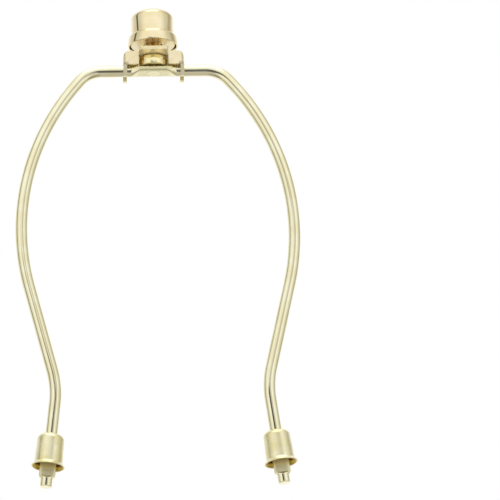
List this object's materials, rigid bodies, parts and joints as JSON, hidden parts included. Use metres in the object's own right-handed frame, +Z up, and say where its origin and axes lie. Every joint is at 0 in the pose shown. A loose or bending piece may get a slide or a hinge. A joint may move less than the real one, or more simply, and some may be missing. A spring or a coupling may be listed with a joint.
{
  "type": "lamp harp",
  "caption": "Bulb-clearing wire loop with a folded shade rest, swivelling threaded stud and finial on top, and a sliding locking sleeve on each foot.",
  "frame": {"origin": "midway between the tips of the two legs, where a harp saddle holds them", "axes": "+Z up along the stud's axis, +X across the loop to its right leg, +Y through the loop from front to back"},
  "size_m": [0.1066, 0.0188, 0.1889],
  "materials": {
    "brass_plate": "polished pale brass plate on steel",
    "turned_brass": "turned, bright brass"
  },
  "bodies": {
    "harp": {"harp_wire": "brass_plate", "top_bracket": "brass_plate"},
    "stud": {"threaded_stud": "turned_brass"},
    "finial_thread": {"finial_insert": "turned_brass"},
    "finial_cap": {"finial_shell": "brass_plate"},
    "left_sleeve": {"left_ferrule": "brass_plate"},
    "right_sleeve": {"right_ferrule": "brass_plate"}
  },
  "joints": [
    {"name": "stud_swivel", "type": "hinge", "parent": "harp", "child": "stud", "pos_m": [0, 0, 0.164], "axis": [0, 0, 1], "continuous": true},
    {"name": "finial_rise", "type": "slide", "parent": "stud", "child": "finial_thread", "axis": [0, 0, 1], "range_m": [-0.0027, 0.0072]},
    {"name": "finial_turn", "type": "hinge", "parent": "finial_thread", "child": "finial_cap", "pos_m": [0, 0, 0.1707], "axis": [0, 0, 1], "range_deg": [-1030, 2750]},
    {"name": "left_sleeve_slide", "type": "slide", "parent": "harp", "child": "left_sleeve", "axis": [0.1219, 0, 0.9925], "range_m": [0, 0.0119]},
    {"name": "right_sleeve_slide", "type": "slide", "parent": "harp", "child": "right_sleeve", "axis": [-0.1219, 0, 0.9925], "range_m": [0, 0.0119]}
  ],
  "couplings": [
    {"joint": "finial_rise", "follows": "finial_turn", "m_per_rad": 0.00014972}
  ]
}
